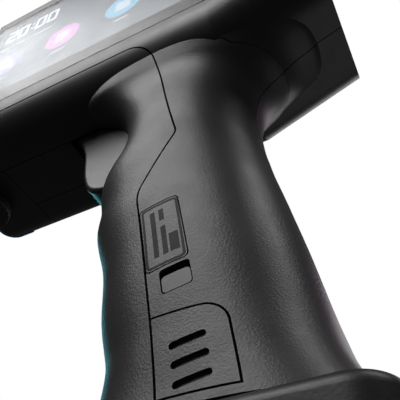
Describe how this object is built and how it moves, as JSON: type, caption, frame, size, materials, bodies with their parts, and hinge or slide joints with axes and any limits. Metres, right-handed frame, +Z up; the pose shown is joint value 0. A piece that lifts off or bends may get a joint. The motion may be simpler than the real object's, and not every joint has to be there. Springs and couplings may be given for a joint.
{
  "type": "handheld label printer",
  "caption": "Pistol-grip handheld printer with a side touch screen, sliding trigger, hinged cartridge door, guide wheels and a battery grip standing on its foot.",
  "frame": {"origin": "centre of the foot's flat underside", "axes": "+Z up, -X towards the print nose, -Y towards the touch screen, +Y towards the cartridge door"},
  "size_m": [0.14, 0.0466, 0.2187],
  "materials": {
    "shell": "fine-grained moulded plastic, dark grey-black",
    "grip_shell": "leather-grained moulded plastic, dark grey-black",
    "foot": "smooth dark moulded plastic",
    "trigger": "satin moulded plastic",
    "blue_frame": "blue satin plastic",
    "glass": "clear touch glass",
    "display": "lit display",
    "board": "green circuit board",
    "inner_plastic": "plain inner plastic",
    "cartridge": "smooth cartridge plastic",
    "steel": "brushed steel",
    "brass": "plated contacts",
    "rubber": "soft black rubber",
    "lamp": "green light pipe",
    "battery": "battery case"
  },
  "bodies": {
    "printer": {"housing_left": "shell", "housing_right": "shell", "lower_cover_left": "shell", "lower_cover_right": "shell", "belly_rail": "shell", "nose_cap": "shell", "print_face_frame": "blue_frame", "nozzle_plate": "steel", "touch_glass": "glass", "display_module": "display", "main_board": "board", "lower_wheel_axle": "steel", "upper_wheel_axle": "steel", "ink_cartridge": "cartridge", "cartridge_cradle": "inner_plastic", "door_hinge_pin": "steel", "rear_plate": "shell", "usb_socket": "steel", "status_lamp": "lamp", "grip_front_strip": "grip_shell", "grip_shell_left": "grip_shell", "grip_shell_right": "grip_shell", "badge_plate": "grip_shell", "trigger_spring": "steel", "trigger_switch": "inner_plastic", "battery_contacts": "brass", "head_screws": "steel", "grip_screws": "steel"},
    "trigger": {"trigger_body": "trigger", "trigger_pad": "trigger"},
    "lock": {"lock_slider": "trigger"},
    "latch": {"battery_latch": "grip_shell"},
    "door": {"cartridge_door": "shell"},
    "power": {"power_button": "trigger"},
    "lower_wheel": {"lower_guide_wheel": "rubber"},
    "upper_wheel": {"upper_guide_wheel": "rubber"},
    "battery": {"battery_case": "battery", "base_foot": "foot", "foot_pad": "rubber"}
  },
  "joints": [
    {"name": "trigger_pull", "type": "slide", "parent": "printer", "child": "trigger", "axis": [1, 0, 0], "range_m": [0, 0.003], "stiffness_N_per_m": 700, "springref_m": -0.002},
    {"name": "lock_slide", "type": "slide", "parent": "printer", "child": "lock", "axis": [-0.165, 0, 0.9863], "range_m": [0, 0.0012]},
    {"name": "latch_press", "type": "slide", "parent": "printer", "child": "latch", "axis": [0, 1, 0], "range_m": [0, 0.0008], "stiffness_N_per_m": 1500, "springref_m": -0.0006},
    {"name": "door_swing", "type": "hinge", "parent": "printer", "child": "door", "pos_m": [-0.0155, 0.0215, 0.168], "axis": [0, 0, 1], "range_deg": [-90, 0]},
    {"name": "power_press", "type": "slide", "parent": "printer", "child": "power", "axis": [-1, 0, 0], "range_m": [0, 0.0008], "stiffness_N_per_m": 1000, "springref_m": -0.0006},
    {"name": "lower_wheel_spin", "type": "hinge", "parent": "printer", "child": "lower_wheel", "pos_m": [-0.0855, 0, 0.1124], "axis": [0, 0, 1], "continuous": true},
    {"name": "upper_wheel_spin", "type": "hinge", "parent": "printer", "child": "upper_wheel", "pos_m": [-0.0855, 0, 0.2171], "axis": [0, 0, 1], "continuous": true},
    {"name": "battery_pull", "type": "slide", "parent": "printer", "child": "battery", "axis": [0.165, 0, -0.9863], "range_m": [0, 0.085]}
  ]
}
